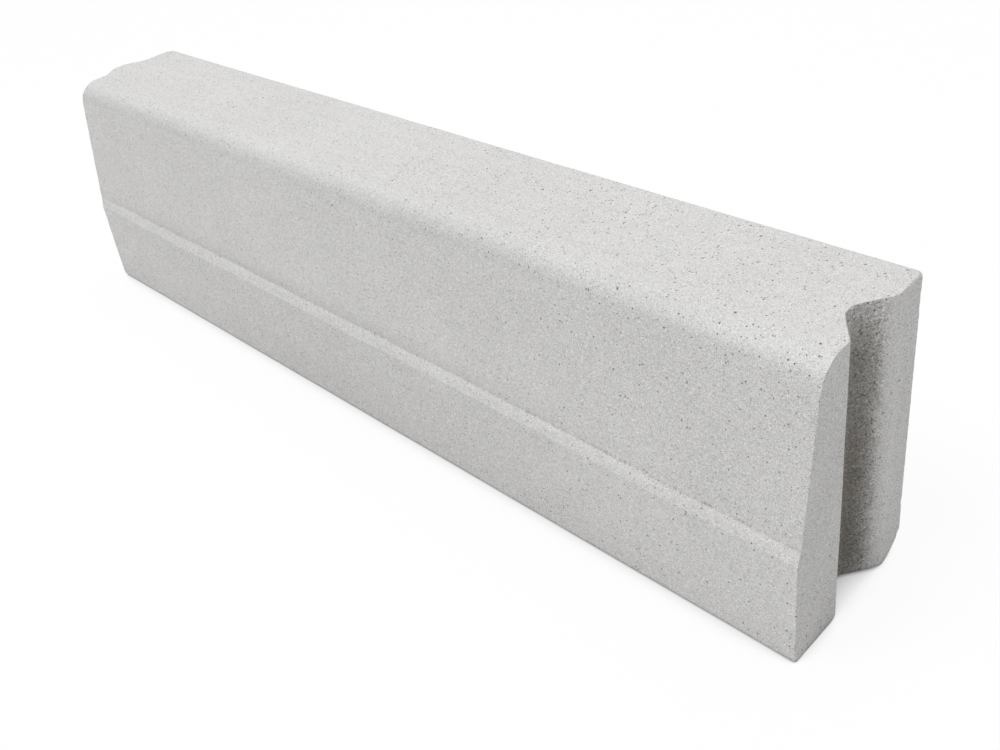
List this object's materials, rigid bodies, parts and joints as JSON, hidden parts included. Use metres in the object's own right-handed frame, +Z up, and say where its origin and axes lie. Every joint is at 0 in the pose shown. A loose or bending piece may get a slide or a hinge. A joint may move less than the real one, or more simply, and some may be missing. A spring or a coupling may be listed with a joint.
{
  "type": "concrete kerb stone",
  "caption": "Precast concrete kerb stone with a leaning, ledged road face, a rounded top edge, a tongue down one end and a matching groove down the other.",
  "frame": {"origin": "middle of the overall box, on the underside of the base", "axes": "+X along the kerb towards the grooved end, +Y towards the back, away from the road, +Z up"},
  "size_m": [1, 0.15, 0.2499],
  "materials": {
    "concrete": "as-cast grey concrete, fine sandy grain with small pores, matt"
  },
  "bodies": {
    "root": {"kerb_stone": "concrete"}
  },
  "joints": []
}
